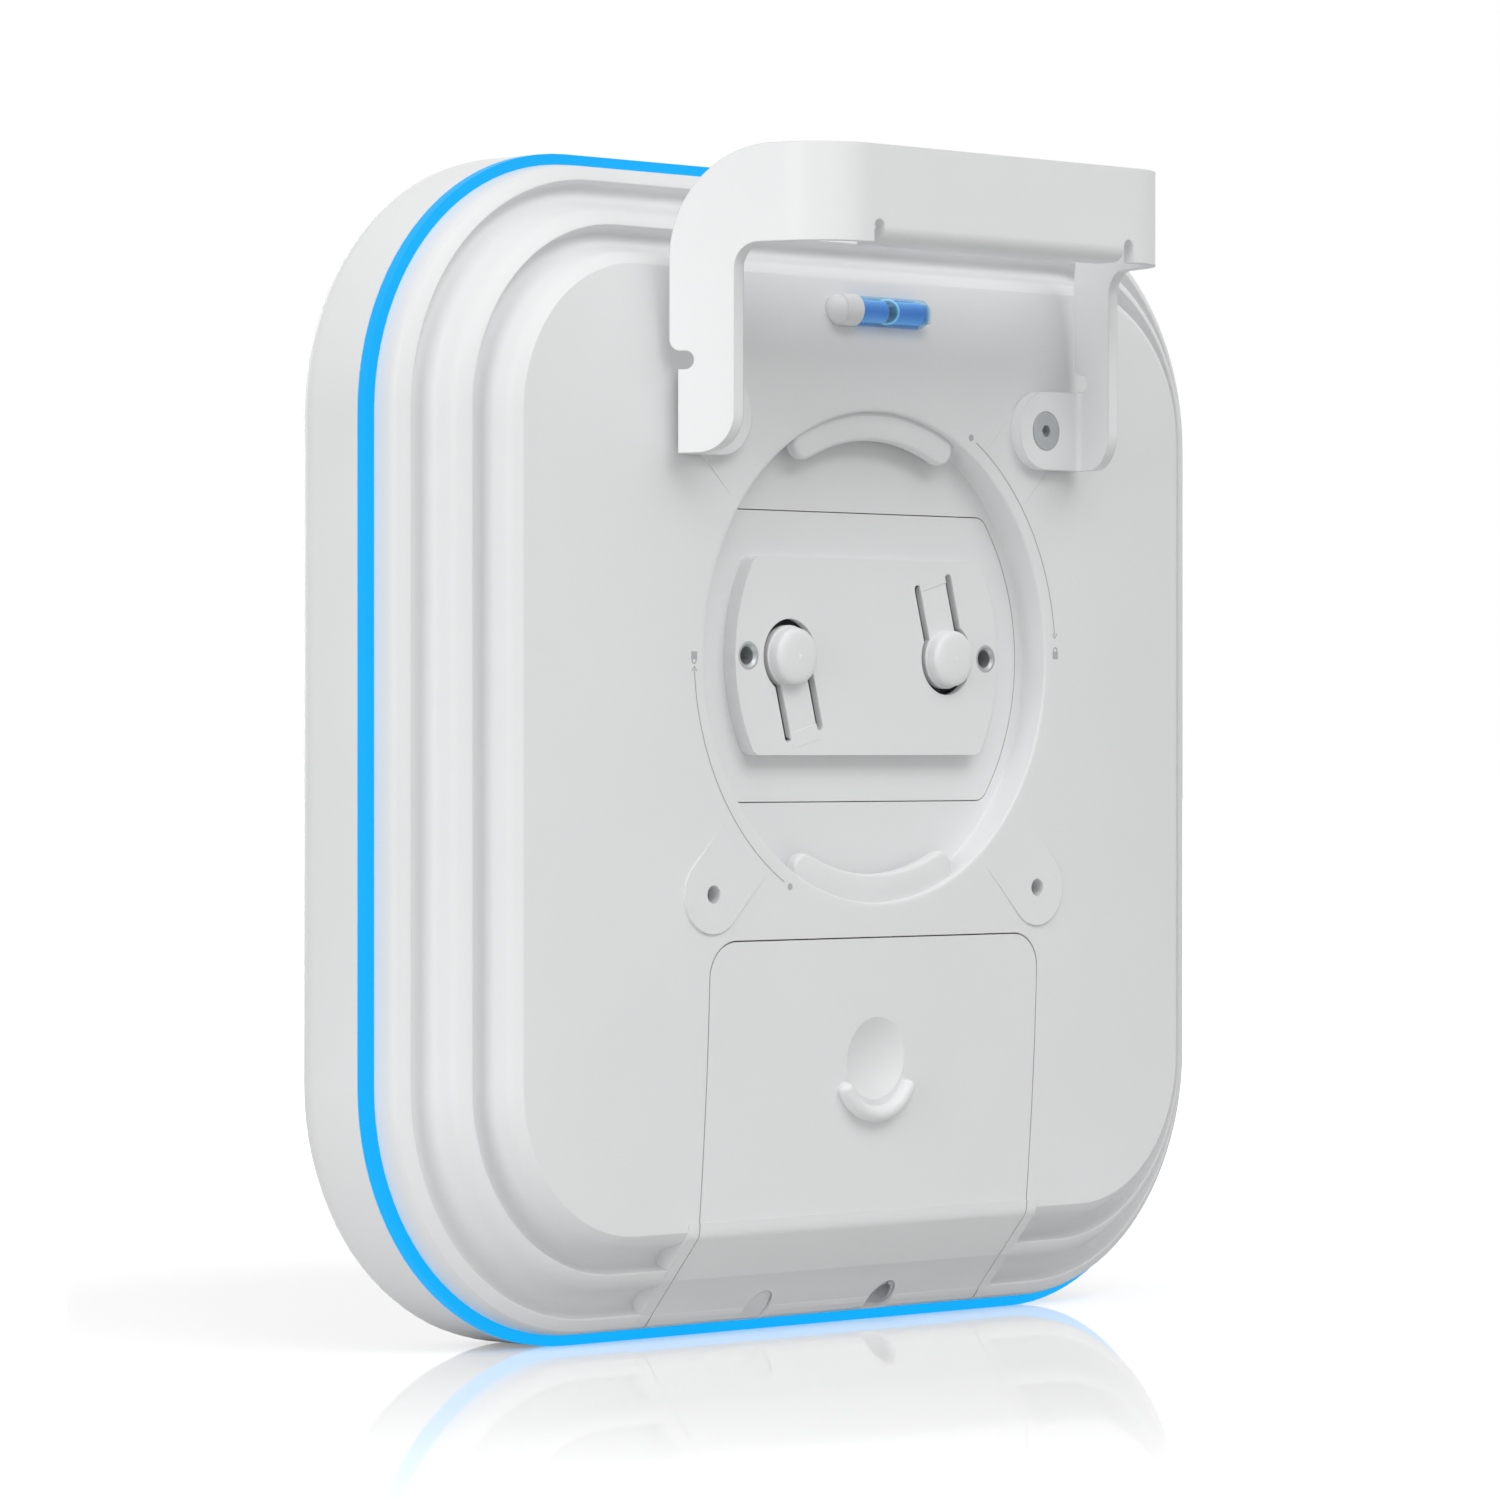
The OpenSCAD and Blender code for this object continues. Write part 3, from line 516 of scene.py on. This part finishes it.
def grip():
    """The raised crescent round the lower half of the dimple."""
    rings = []
    steps = 40
    for i in range(steps + 1):
        a = 200 + 140 * i / steps
        end = min(i, steps - i) / steps
        w = 1.85 * min(1.0, math.sqrt(max(0.0, 1 - (1 - min(1.0, end / 0.06)) ** 2)) + 0.02)
        c, s = math.cos(math.radians(a)), math.sin(math.radians(a))
        ring = []
        for k in range(20):
            b = 2 * math.pi * k / 20
            out = GRIP_R + w * math.cos(b)
            depth = 1.1 + 2.0 * math.sin(b) * (w / 1.85)
            ring.append((out * c, depth, DIMPLE_Z + out * s))
        rings.append(ring)
    obj = rings_solid("grip_lip", rings)
    return shade(obj, 60)


def mark(name, outline_pts, y0=-0.035, y1=0.1):
    return prism_y(name, outline_pts, y0, y1)


def arc_band(r, w, a0, a1, steps=60):
    return circle(0, 0, r + w / 2, steps, a0, a1) + circle(0, 0, r - w / 2, steps, a1, a0)


def twist_marks():
    """The turning marks round the socket: dot, arc, arrowhead and a closed padlock, on both sides."""
    r = MARK_R
    made = []
    for flip, dot, tip in ((1, 59.1, 5.1), (-1, 60.6, 2.8)):
        at = math.radians(dot)
        pieces = [mark("dot", circle(r * math.cos(at), r * math.sin(at), 0.75, 20)),
                  mark("arc", arc_band(r, 0.22, tip + 0.4, dot - 2.0))]
        t = math.radians(tip)
        x, z = r * math.cos(t), r * math.sin(t)
        for s in (-1, 1):
            pieces.append(mark("arrow", stroke((x, z - 0.3), (x + s * 0.75, z + 0.75), 0.2)))
        z -= 4.1 if flip == 1 else 2.6
        x = r
        pieces.append(mark("lock", [(x - 0.85, z - 0.9), (x + 0.85, z - 0.9), (x + 0.85, z + 0.75),
                                    (x - 0.85, z + 0.75)]))
        hoop = circle(x, z + 0.75, 0.7, 12, 0, 180) + circle(x, z + 0.75, 0.45, 12, 180, 0)
        pieces.append(mark("hoop", [(p, q + 0.35) for p, q in hoop]))
        for s in (-1, 1):
            pieces.append(mark("leg", [(x + s * 0.575 - 0.125, z + 0.7), (x + s * 0.575 + 0.125, z + 0.7),
                                       (x + s * 0.575 + 0.125, z + 1.12), (x + s * 0.575 - 0.125, z + 1.12)]))
        for p in pieces:
            if flip == -1:
                p.data.transform(Matrix.Rotation(math.pi, 4, "Y"))
        made += pieces
    return join("twist_marks", made)


def stroke(a, b, w):
    """A straight band from a to b."""
    d = Vector((b[0] - a[0], b[1] - a[1])).normalized() * (w / 2)
    n = (-d[1], d[0])
    return [(a[0] + n[0], a[1] + n[1]), (a[0] - n[0], a[1] - n[1]),
            (b[0] - n[0], b[1] - n[1]), (b[0] + n[0], b[1] + n[1])]


def join(name, objs):
    bm = bmesh.new()
    for o in objs:
        bm.from_mesh(o.data)
        bpy.data.objects.remove(o)
    mesh = bpy.data.meshes.new(name)
    bm.to_mesh(mesh)
    bm.free()
    obj = bpy.data.objects.new(name, mesh)
    bpy.context.scene.collection.objects.link(obj)
    return obj


def arm_roots():
    """The webs that join the latch arms to the panel's face, and the floors of the slots."""
    made = []
    for turn in (0, 180):
        parts = [rounded_block("web", (0, 3.58, -ARM_ROOT), (8.7, 0.6, 3.6), 0.04)]
        for s in (-1, 1):
            parts.append(rounded_block("slot_floor", (SLOT_AT * s, 6.1, -13.2), (1.8, 0.4, 10.6), 0.1))
        for part in parts:
            part.data.transform(Matrix.Rotation(math.radians(-ARM_LEAN), 4, "Y"))
            part.data.transform(Matrix.Translation((-LATCH_X * MM, 0, 0)))
            part.data.transform(Matrix.Rotation(math.radians(turn), 4, "Y"))
        made += parts
    return join("arm_roots", made)


# ---------------------------------------------------------------- materials

def shader(name):
    mat = bpy.data.materials.new(name)
    mat.use_nodes = True
    tree = mat.node_tree
    return mat, tree.nodes, tree.links, tree.nodes["Principled BSDF"]


def noise(nodes, links, scale, detail=3.0, rough=0.55):
    """Noise over the object's own coordinates."""
    coords = nodes.new("ShaderNodeTexCoord")
    tex = nodes.new("ShaderNodeTexNoise")
    tex.inputs["Scale"].default_value = scale
    tex.inputs["Detail"].default_value = detail
    tex.inputs["Roughness"].default_value = rough
    links.new(coords.outputs["Object"], tex.inputs["Vector"])
    return tex


def remap(nodes, links, source, low, high):
    node = nodes.new("ShaderNodeMapRange")
    node.inputs["From Min"].default_value = 0.3
    node.inputs["From Max"].default_value = 0.7
    node.inputs["To Min"].default_value = low
    node.inputs["To Max"].default_value = high
    links.new(source, node.inputs["Value"])
    return node.outputs["Result"]


def surface(name, colour, rough, metallic=0.0, vary=0.014, grain=900.0, bump=0.02, edge=0.25,
            rough_vary=0.05):
    """A moulded, cast or sheet surface: fine grain, slight colour drift and softly rounded edges."""
    mat, nodes, links, bsdf = shader(name)
    drift = noise(nodes, links, 14.0, 2.0)
    ramp = nodes.new("ShaderNodeMixRGB")
    ramp.inputs[1].default_value = [c * (1 - vary) for c in colour] + [1]
    ramp.inputs[2].default_value = [min(1.0, c * (1 + vary)) for c in colour] + [1]
    links.new(remap(nodes, links, drift.outputs["Fac"], 0.0, 1.0), ramp.inputs[0])
    links.new(ramp.outputs[0], bsdf.inputs["Base Color"])
    bsdf.inputs["Metallic"].default_value = metallic
    fine = noise(nodes, links, grain, 4.0)
    links.new(remap(nodes, links, fine.outputs["Fac"], rough - rough_vary, rough + rough_vary),
              bsdf.inputs["Roughness"])
    soft = nodes.new("ShaderNodeBevel")
    soft.samples = 4
    soft.inputs["Radius"].default_value = edge * MM
    bumped = nodes.new("ShaderNodeBump")
    bumped.inputs["Strength"].default_value = bump
    bumped.inputs["Distance"].default_value = 0.0002
    links.new(fine.outputs["Fac"], bumped.inputs["Height"])
    links.new(soft.outputs["Normal"], bumped.inputs["Normal"])
    links.new(bumped.outputs["Normal"], bsdf.inputs["Normal"])
    return mat


def glow(name, colour, strength, base):
    """A lit diffuser: its own light over a glossy plastic face, slightly uneven along its length."""
    mat, nodes, links, bsdf = shader(name)
    drift = noise(nodes, links, 30.0, 1.0)
    bsdf.inputs["Base Color"].default_value = base + (1,)
    bsdf.inputs["Roughness"].default_value = 0.5
    bsdf.inputs["Specular IOR Level"].default_value = 0.15
    bsdf.inputs["Emission Color"].default_value = colour + (1,)
    links.new(remap(nodes, links, drift.outputs["Fac"], strength * 0.97, strength * 1.03),
              bsdf.inputs["Emission Strength"])
    return mat


def vial_glass():
    """Clear tube: mostly seen through, with a bright gloss."""
    mat, nodes, links, bsdf = shader("vial_glass")
    out = nodes["Material Output"]
    clear = nodes.new("ShaderNodeBsdfTransparent")
    clear.inputs["Color"].default_value = (0.72, 0.9, 1.0, 1)
    bsdf.inputs["Base Color"].default_value = (0.5, 0.8, 1.0, 1)
    bsdf.inputs["Roughness"].default_value = 0.04
    ripple = noise(nodes, links, 60.0, 1.0)
    rim = nodes.new("ShaderNodeLayerWeight")
    rim.inputs["Blend"].default_value = 0.25
    mixed = nodes.new("ShaderNodeMixShader")
    scale = nodes.new("ShaderNodeMath")
    scale.operation = "MULTIPLY"
    links.new(rim.outputs["Facing"], scale.inputs[0])
    links.new(remap(nodes, links, ripple.outputs["Fac"], 0.55, 0.75), scale.inputs[1])
    links.new(scale.outputs[0], mixed.inputs[0])
    links.new(clear.outputs[0], mixed.inputs[1])
    links.new(bsdf.outputs[0], mixed.inputs[2])
    links.new(mixed.outputs[0], out.inputs["Surface"])
    return mat


def vial_liquid_painted_light():
    """Blue liquid with painted light: a painted glow, painted shade through the middle and painted highlights
    along the top and bottom.
    """
    mat, nodes, links, bsdf = shader("vial_liquid_painted_light")
    coords = nodes.new("ShaderNodeTexCoord")
    split = nodes.new("ShaderNodeSeparateXYZ")
    links.new(coords.outputs["Object"], split.inputs[0])
    height = nodes.new("ShaderNodeMapRange")
    height.inputs["From Min"].default_value = (VIAL_Z - VIAL_R) * MM
    height.inputs["From Max"].default_value = (VIAL_Z + VIAL_R) * MM
    links.new(split.outputs["Z"], height.inputs["Value"])
    ramp = nodes.new("ShaderNodeValToRGB")
    # painted light by height across the tube: painted highlights at the top and bottom edges, painted shade
    # through the middle
    painted_light_stops = [(0.0, (0.25, 0.55, 0.85)), (0.18, (0.13, 0.3, 0.6)), (0.5, (0.03, 0.13, 0.42)),
             (0.78, (0.05, 0.2, 0.5)), (0.93, (0.25, 0.6, 0.85)), (1.0, (0.5, 0.85, 0.95))]
    while len(ramp.color_ramp.elements) < len(painted_light_stops):
        ramp.color_ramp.elements.new(0.5)
    for element, (at, colour) in zip(ramp.color_ramp.elements, painted_light_stops):
        element.position = at
        element.color = colour + (1,)
    links.new(height.outputs[0], ramp.inputs[0])
    links.new(ramp.outputs[0], bsdf.inputs["Base Color"])
    links.new(ramp.outputs[0], bsdf.inputs["Emission Color"])
    # painted glow: the liquid gives off light though it is no lamp
    bsdf.inputs["Emission Strength"].default_value = 0.45
    bsdf.inputs["Roughness"].default_value = 0.15
    return mat


def vial_air_painted_light():
    """The bubble, with painted light: painted shade in the middle, a painted highlight round its rim and a
    painted glow.
    """
    mat, nodes, links, bsdf = shader("vial_air_painted_light")
    # painted rim highlight: the mask follows how squarely each point faces the view, dark in the middle and
    # bright at the rim
    painted_rim_mask = nodes.new("ShaderNodeLayerWeight")
    painted_rim_mask.inputs["Blend"].default_value = 0.45
    ramp = nodes.new("ShaderNodeValToRGB")
    painted_light_stops = [(0.0, (0.005, 0.03, 0.07)), (0.35, (0.02, 0.1, 0.2)), (0.6, (0.25, 0.6, 0.8)),
             (1.0, (0.6, 0.9, 1.0))]
    while len(ramp.color_ramp.elements) < len(painted_light_stops):
        ramp.color_ramp.elements.new(0.5)
    for element, (at, colour) in zip(ramp.color_ramp.elements, painted_light_stops):
        element.position = at
        element.color = colour + (1,)
    links.new(painted_rim_mask.outputs["Facing"], ramp.inputs[0])
    links.new(ramp.outputs[0], bsdf.inputs["Base Color"])
    links.new(ramp.outputs[0], bsdf.inputs["Emission Color"])
    # painted glow: the bubble gives off light though it is no lamp
    bsdf.inputs["Emission Strength"].default_value = 0.4
    bsdf.inputs["Roughness"].default_value = 0.02
    return mat


def make_materials():
    """One finish for each of the record's material slots."""
    white = (0.80, 0.805, 0.81)
    return {
        "cast_white": surface("cast_white", white, 0.5, bump=0.03),
        "cover_white": surface("cover_white", white, 0.48, bump=0.02, grain=1200),
        "panel_white": surface("panel_white", (0.81, 0.815, 0.82), 0.46, bump=0.02, grain=1200),
        "radome_white": surface("radome_white", (0.82, 0.825, 0.83), 0.42, bump=0.015, grain=1500),
        "bracket_white": surface("bracket_white", (0.84, 0.845, 0.85), 0.42, bump=0.05, grain=700, edge=0.35),
        "ring_blue": glow("ring_blue", (0.0, 0.43, 0.98), 0.97, (0.004, 0.02, 0.03)),
        "zinc_steel": surface("zinc_steel", (0.5, 0.52, 0.53), 0.4, metallic=0.5, bump=0.05, vary=0.08),
        "black_rubber": surface("black_rubber", (0.02, 0.02, 0.022), 0.7, bump=0.08),
        "gland_grey": surface("gland_grey", (0.55, 0.56, 0.58), 0.6, bump=0.05),
        "dark_plastic": surface("dark_plastic", (0.035, 0.037, 0.04), 0.45, bump=0.05),
        "red_plastic": surface("red_plastic", (0.45, 0.03, 0.025), 0.4, bump=0.03),
        "spring_gold": surface("spring_gold", (0.85, 0.6, 0.25), 0.25, metallic=1.0, bump=0.03),
        "ptfe": surface("ptfe", (0.85, 0.85, 0.83), 0.7, bump=0.15, grain=2500),
        "green_steel": surface("green_steel", (0.08, 0.33, 0.14), 0.4, metallic=0.4, bump=0.04),
        "board_green": surface("board_green", (0.015, 0.13, 0.055), 0.35, vary=0.12, bump=0.1, grain=500),
        "flex_amber": surface("flex_amber", (0.45, 0.2, 0.02), 0.35, vary=0.08),
        "led_body": surface("led_body", (0.8, 0.85, 0.9), 0.2),
        "heat_alloy": surface("heat_alloy", (0.6, 0.61, 0.63), 0.38, metallic=0.9, bump=0.1, grain=400),
        "tin_sheet": surface("tin_sheet", (0.62, 0.63, 0.65), 0.3, metallic=0.9, bump=0.05, vary=0.06),
        "pad_blue": surface("pad_blue", (0.25, 0.36, 0.55), 0.8, bump=0.1),
        "vial_blue": vial_glass(),
        "fluid_blue": vial_liquid_painted_light(),
        "bubble_air": vial_air_painted_light(),
    }


def smooth_group():
    """Geometry nodes that weld a carried node's seams and shade it smooth below a crease angle."""
    group = bpy.data.node_groups.new("smooth_by_angle", "GeometryNodeTree")
    group.interface.new_socket("Geometry", in_out="INPUT", socket_type="NodeSocketGeometry")
    group.interface.new_socket("Geometry", in_out="OUTPUT", socket_type="NodeSocketGeometry")
    n, link = group.nodes, group.links.new
    start, end = n.new("NodeGroupInput"), n.new("NodeGroupOutput")
    weld = n.new("GeometryNodeMergeByDistance")
    weld.inputs["Distance"].default_value = 1e-6
    angle = n.new("GeometryNodeInputMeshEdgeAngle")
    below = n.new("FunctionNodeCompare")
    below.data_type = "FLOAT"
    below.operation = "LESS_THAN"
    below.inputs["B"].default_value = math.radians(28)
    faces = n.new("GeometryNodeSetShadeSmooth")
    faces.domain = "FACE"
    edges = n.new("GeometryNodeSetShadeSmooth")
    edges.domain = "EDGE"
    link(start.outputs[0], weld.inputs["Geometry"])
    link(weld.outputs[0], faces.inputs["Geometry"])
    link(faces.outputs[0], edges.inputs["Geometry"])
    link(angle.outputs["Unsigned Angle"], below.inputs["A"])
    link(below.outputs["Result"], edges.inputs["Shade Smooth"])
    link(edges.outputs[0], end.inputs[0])
    return group


def dress(obj, material):
    obj.data.materials.clear()
    obj.data.materials.append(material)


# ---------------------------------------------------------------- camera, floor and light

CAMERA_TURN = 45.139
CAMERA_AWAY = 1438.78
CAMERA_SIDE = 29.10
CAMERA_LENS = 154.1


def make_camera():
    data = bpy.data.cameras.new("camera")
    data.lens = CAMERA_LENS
    data.sensor_width = 36
    data.clip_end = 60
    cam = bpy.data.objects.new("camera", data)
    bpy.context.scene.collection.objects.link(cam)
    a = math.radians(CAMERA_TURN)
    ahead, right = Vector((math.sin(a), math.cos(a), 0)), Vector((math.cos(a), -math.sin(a), 0))
    cam.location = (-CAMERA_AWAY * ahead - CAMERA_SIDE * right + Vector((0, 0, CENTRE_Z))) * MM
    cam.rotation_mode = "QUATERNION"
    cam.rotation_quaternion = ahead.to_track_quat("-Z", "Y")
    bpy.context.scene.camera = cam


def area_light(name, place, aim, width, height, power, colour=(1, 1, 1)):
    data = bpy.data.lights.new(name, "AREA")
    data.shape = "RECTANGLE"
    data.size, data.size_y = width, height
    data.energy = power
    data.color = colour
    lamp = bpy.data.objects.new(name, data)
    bpy.context.scene.collection.objects.link(lamp)
    lamp.location = place
    lamp.rotation_mode = "QUATERNION"
    lamp.rotation_quaternion = (Vector(aim) - Vector(place)).to_track_quat("-Z", "Y")


def make_world(strength):
    world = bpy.data.worlds.new("studio")
    bpy.context.scene.world = world
    world.use_nodes = True
    nodes, links = world.node_tree.nodes, world.node_tree.links
    back = nodes["Background"]
    back.inputs["Color"].default_value = (1, 1, 1, 1)
    rays = nodes.new("ShaderNodeLightPath")
    soft = nodes.new("ShaderNodeMapRange")
    soft.name = "ambient"
    soft.inputs["To Min"].default_value = 1.0
    soft.inputs["To Max"].default_value = strength
    links.new(rays.outputs["Is Diffuse Ray"], soft.inputs["Value"])
    links.new(soft.outputs[0], back.inputs["Strength"])


def make_floor():
    """A pale studio floor, polished near the object."""
    half = 12000
    floor = new_object("floor", [(-half, -half, FLOOR_Z), (half, -half, FLOOR_Z), (half, half, FLOOR_Z),
                                 (-half, half, FLOOR_Z)], [(0, 1, 2, 3)])
    mat, nodes, links, bsdf = shader("studio_floor")
    bsdf.inputs["Roughness"].default_value = 0.9
    bsdf.inputs["Specular IOR Level"].default_value = 0.0
    bsdf.inputs["Emission Color"].default_value = (1, 1, 1, 1)
    seen = nodes.new("ShaderNodeLightPath")
    tone = nodes.new("ShaderNodeMixRGB")
    tone.inputs[1].default_value = (0.38, 0.38, 0.38, 1)
    tone.inputs[2].default_value = (0.92, 0.92, 0.92, 1)
    links.new(seen.outputs["Is Camera Ray"], tone.inputs[0])
    links.new(tone.outputs[0], bsdf.inputs["Base Color"])
    gloss = nodes.new("ShaderNodeBsdfGlossy")
    gloss.inputs["Roughness"].default_value = 0.03
    coords = nodes.new("ShaderNodeTexCoord")
    away = nodes.new("ShaderNodeVectorMath")
    away.operation = "LENGTH"
    links.new(coords.outputs["Object"], away.inputs[0])
    far = nodes.new("ShaderNodeMapRange")
    far.inputs["From Min"].default_value = 0.25
    far.inputs["From Max"].default_value = 0.9
    far.inputs["To Min"].default_value = 0.5
    far.inputs["To Max"].default_value = 1.0
    links.new(away.outputs["Value"], far.inputs["Value"])
    lift = nodes.new("ShaderNodeMath")
    lift.operation = "MULTIPLY"
    links.new(seen.outputs["Is Camera Ray"], lift.inputs[0])
    links.new(far.outputs[0], lift.inputs[1])
    links.new(lift.outputs[0], bsdf.inputs["Emission Strength"])
    fade = nodes.new("ShaderNodeMapRange")
    fade.interpolation_type = "SMOOTHSTEP"
    fade.inputs["From Min"].default_value = 0.10
    fade.inputs["From Max"].default_value = 0.70
    fade.inputs["To Min"].default_value = 0.55
    fade.inputs["To Max"].default_value = 0.0
    links.new(away.outputs["Value"], fade.inputs["Value"])
    mixed = nodes.new("ShaderNodeMixShader")
    links.new(fade.outputs[0], mixed.inputs[0])
    links.new(bsdf.outputs[0], mixed.inputs[1])
    links.new(gloss.outputs[0], mixed.inputs[2])
    links.new(mixed.outputs[0], nodes["Material Output"].inputs["Surface"])
    dress(floor, mat)


def make_lights():
    make_world(0.45)
    for name, turn, rise, power in (("key_left", 25, 45, 14), ("key_right", -15, 45, 14),
                                    ("fill_left", 75, 45, 1.0), ("side_left", 85, 10, 22),
                                    ("room_side", 200, 3, 13)):
        a, e = math.radians(turn), math.radians(rise)
        aim = Vector((0, 20, CENTRE_Z)) * MM
        away = Vector((-math.sin(a) * math.cos(e), -math.cos(a) * math.cos(e), math.sin(e))) * 2.4
        area_light(name, aim + away, aim, 1.3, 1.3, power)


# ---------------------------------------------------------------- the scene

bpy.context.scene.view_settings.view_transform = "Standard"
make_camera()

finishes = make_materials()
smooth = smooth_group()
node_slots = {s["node"]: s["material_slot"] for s in frame["record"]["subparts"]}
for node_name, node in NODES.items():
    dress(node, finishes[node_slots[node_name]])
    node.modifiers.new("smooth", "NODES").node_group = smooth

shell = rear_shell()
dress(shell, finishes["cast_white"])
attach(shell, "base")
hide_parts("rear_housing", "socket_cup")

skin = cover_skin()
dress(skin, finishes["cover_white"])
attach(skin, "cover")
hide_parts("service_cover")

bubble = bubble_piece()
dress(bubble, finishes["bubble_air"])
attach(bubble, "bubble")
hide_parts("vial_bubble")

tub = tub_piece()
dress(tub, finishes["cover_white"])
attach(tub, "base")
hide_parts("connector_tub")

lip = grip()
dress(lip, finishes["cover_white"])
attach(lip, "cover")

print_ink = surface("print_ink", (0.46, 0.47, 0.48), 0.6)
marks = twist_marks()
dress(marks, print_ink)
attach(marks, "base")

webs = arm_roots()
dress(webs, finishes["panel_white"])
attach(webs, "base")

make_floor()
make_lights()
